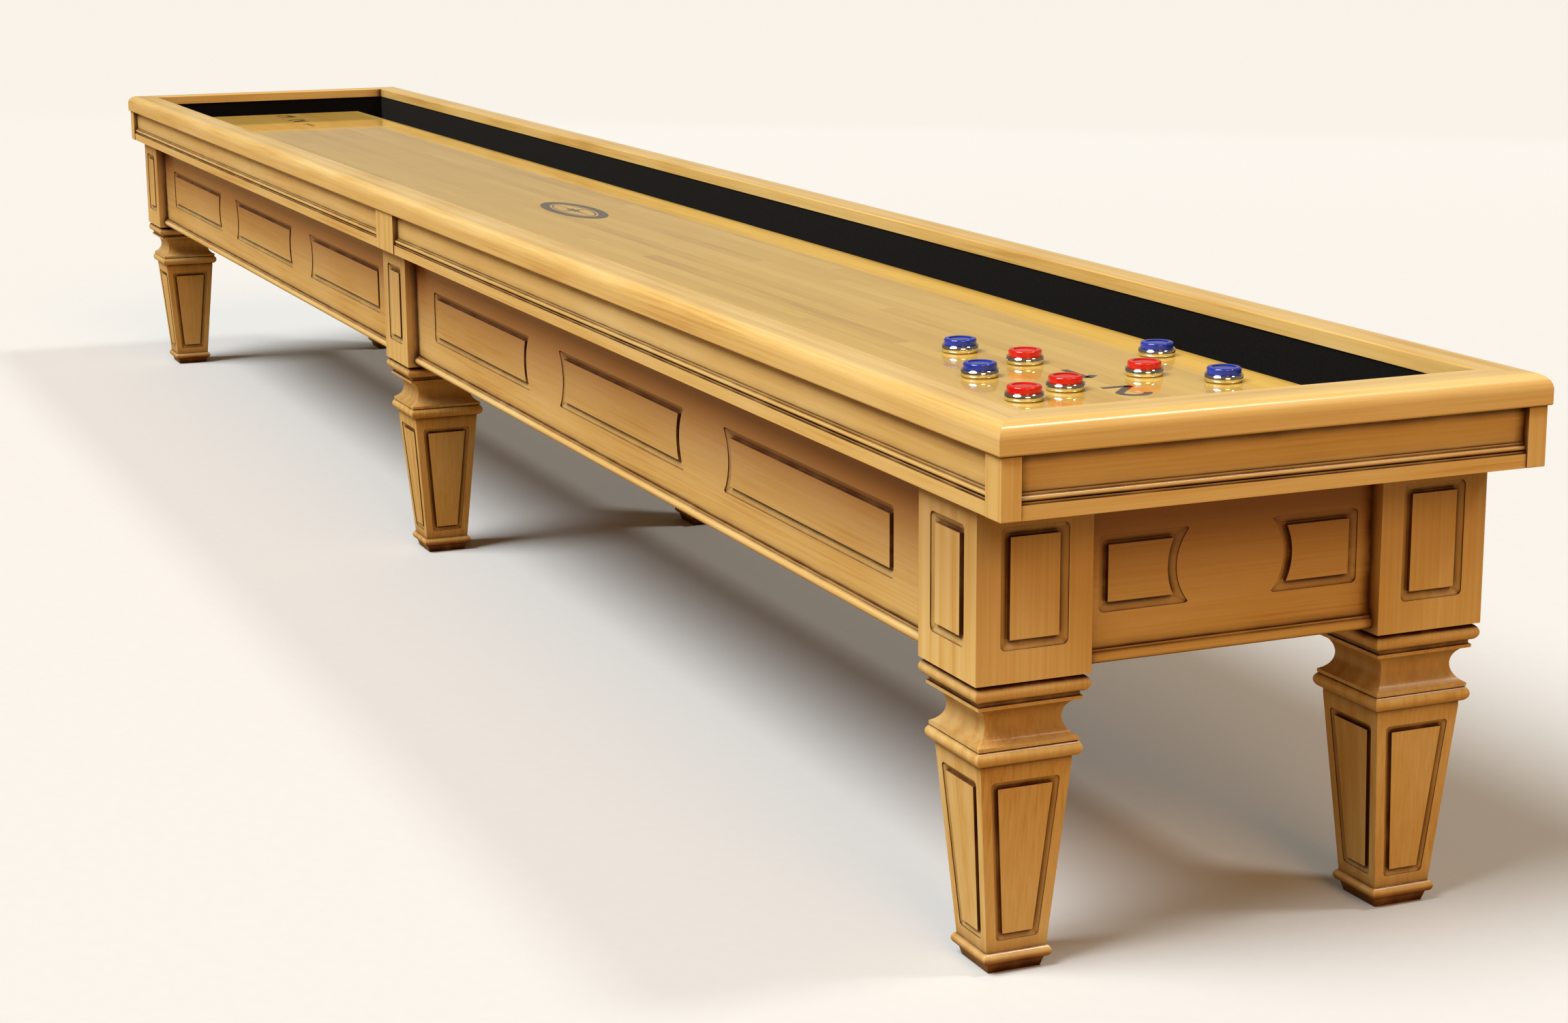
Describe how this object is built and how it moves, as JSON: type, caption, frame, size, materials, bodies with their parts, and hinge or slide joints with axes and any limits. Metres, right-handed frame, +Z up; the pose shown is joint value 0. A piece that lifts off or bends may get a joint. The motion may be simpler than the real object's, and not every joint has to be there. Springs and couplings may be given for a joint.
{
  "type": "shuffleboard table",
  "caption": "Long shuffleboard table with a maple playfield, carpeted gutters, panelled maple cabinet, tapered legs and sliding pucks.",
  "frame": {"origin": "on the floor under the centre of the table", "axes": "+X along the table towards the end where the pucks lie, +Y across it, +Z up; the left side faces -Y"},
  "size_m": [5.82, 0.851, 0.8],
  "materials": {
    "glazed_maple": "satin, glazed in the grooves",
    "playfield_maple": "gloss",
    "plywood": "raw",
    "spruce": "raw",
    "carpet": "short pile",
    "zinc_steel": "zinc plated",
    "puck_steel": "polished",
    "blue_plastic": "gloss",
    "red_plastic": "gloss"
  },
  "bodies": {
    "table": {"playfield": "playfield_maple", "cross_beams": "spruce", "gutter_floors": "plywood", "gutter_carpet": "carpet", "cradle_walls": "plywood", "cap_rail_left": "glazed_maple", "cap_rail_right": "glazed_maple", "cap_rail_near": "glazed_maple", "cap_rail_far": "glazed_maple", "frieze_left": "glazed_maple", "frieze_right": "glazed_maple", "frieze_near": "glazed_maple", "frieze_far": "glazed_maple", "frieze_moulding": "glazed_maple", "corner_blocks": "glazed_maple", "mid_blocks": "glazed_maple", "apron_left_near": "glazed_maple", "apron_left_far": "glazed_maple", "apron_right_near": "glazed_maple", "apron_right_far": "glazed_maple", "apron_near_end": "glazed_maple", "apron_far_end": "glazed_maple", "apron_beads": "glazed_maple", "corner_posts": "glazed_maple", "mid_posts": "glazed_maple", "leg_left_near": "glazed_maple", "leg_left_mid": "glazed_maple", "leg_left_far": "glazed_maple", "leg_right_near": "glazed_maple", "leg_right_mid": "glazed_maple", "leg_right_far": "glazed_maple", "leg_bolts": "zinc_steel", "adjuster_brackets": "zinc_steel", "adjuster_rods": "zinc_steel", "adjuster_screws": "zinc_steel"},
    "puck_blue_1": {"puck_blue_1_weight": "puck_steel", "puck_blue_1_cap": "blue_plastic"},
    "puck_blue_2": {"puck_blue_2_weight": "puck_steel", "puck_blue_2_cap": "blue_plastic"},
    "puck_blue_3": {"puck_blue_3_weight": "puck_steel", "puck_blue_3_cap": "blue_plastic"},
    "puck_blue_4": {"puck_blue_4_weight": "puck_steel", "puck_blue_4_cap": "blue_plastic"},
    "puck_red_1": {"puck_red_1_weight": "puck_steel", "puck_red_1_cap": "red_plastic"},
    "puck_red_2": {"puck_red_2_weight": "puck_steel", "puck_red_2_cap": "red_plastic"},
    "puck_red_3": {"puck_red_3_weight": "puck_steel", "puck_red_3_cap": "red_plastic"},
    "puck_red_4": {"puck_red_4_weight": "puck_steel", "puck_red_4_cap": "red_plastic"},
    "leveler_1": {"leveler_1": "zinc_steel"},
    "leveler_2": {"leveler_2": "zinc_steel"},
    "leveler_3": {"leveler_3": "zinc_steel"},
    "leveler_4": {"leveler_4": "zinc_steel"},
    "leveler_5": {"leveler_5": "zinc_steel"},
    "leveler_6": {"leveler_6": "zinc_steel"},
    "adjuster_barrel_1": {"adjuster_barrel_1": "zinc_steel"},
    "adjuster_barrel_2": {"adjuster_barrel_2": "zinc_steel"},
    "adjuster_barrel_3": {"adjuster_barrel_3": "zinc_steel"}
  },
  "joints": [
    {"name": "puck_blue_1_slide", "type": "slide", "parent": "table", "child": "puck_blue_1", "axis": [1, 0, 0], "range_m": [-4.78, 0.09]},
    {"name": "puck_blue_2_slide", "type": "slide", "parent": "table", "child": "puck_blue_2", "axis": [1, 0, 0], "range_m": [-4.99, 0.14]},
    {"name": "puck_blue_3_slide", "type": "slide", "parent": "table", "child": "puck_blue_3", "axis": [1, 0, 0], "range_m": [-4.94, 0.18]},
    {"name": "puck_blue_4_slide", "type": "slide", "parent": "table", "child": "puck_blue_4", "axis": [1, 0, 0], "range_m": [-0.18, 0.21]},
    {"name": "puck_red_1_slide", "type": "slide", "parent": "table", "child": "puck_red_1", "axis": [1, 0, 0], "range_m": [-0.09, 0.19]},
    {"name": "puck_red_2_slide", "type": "slide", "parent": "table", "child": "puck_red_2", "axis": [1, 0, 0], "range_m": [-0.14, 0.21]},
    {"name": "puck_red_3_slide", "type": "slide", "parent": "table", "child": "puck_red_3", "axis": [1, 0, 0], "range_m": [-0.19, 0.25]},
    {"name": "puck_red_4_slide", "type": "slide", "parent": "table", "child": "puck_red_4", "axis": [1, 0, 0], "range_m": [-5.08, 0.31]},
    {"name": "leveler_1_screw", "type": "slide", "parent": "table", "child": "leveler_1", "axis": [0, 0, 1], "range_m": [-0.025, 0]},
    {"name": "leveler_2_screw", "type": "slide", "parent": "table", "child": "leveler_2", "axis": [0, 0, 1], "range_m": [-0.025, 0]},
    {"name": "leveler_3_screw", "type": "slide", "parent": "table", "child": "leveler_3", "axis": [0, 0, 1], "range_m": [-0.025, 0]},
    {"name": "leveler_4_screw", "type": "slide", "parent": "table", "child": "leveler_4", "axis": [0, 0, 1], "range_m": [-0.025, 0]},
    {"name": "leveler_5_screw", "type": "slide", "parent": "table", "child": "leveler_5", "axis": [0, 0, 1], "range_m": [-0.025, 0]},
    {"name": "leveler_6_screw", "type": "slide", "parent": "table", "child": "leveler_6", "axis": [0, 0, 1], "range_m": [-0.025, 0]},
    {"name": "adjuster_barrel_1_turn", "type": "hinge", "parent": "table", "child": "adjuster_barrel_1", "pos_m": [-1.65, 0, 0.635], "axis": [0, 1, 0], "range_deg": [-180, 180]},
    {"name": "adjuster_barrel_2_turn", "type": "hinge", "parent": "table", "child": "adjuster_barrel_2", "pos_m": [0, 0, 0.635], "axis": [0, 1, 0], "range_deg": [-180, 180]},
    {"name": "adjuster_barrel_3_turn", "type": "hinge", "parent": "table", "child": "adjuster_barrel_3", "pos_m": [1.65, 0, 0.635], "axis": [0, 1, 0], "range_deg": [-180, 180]}
  ]
}
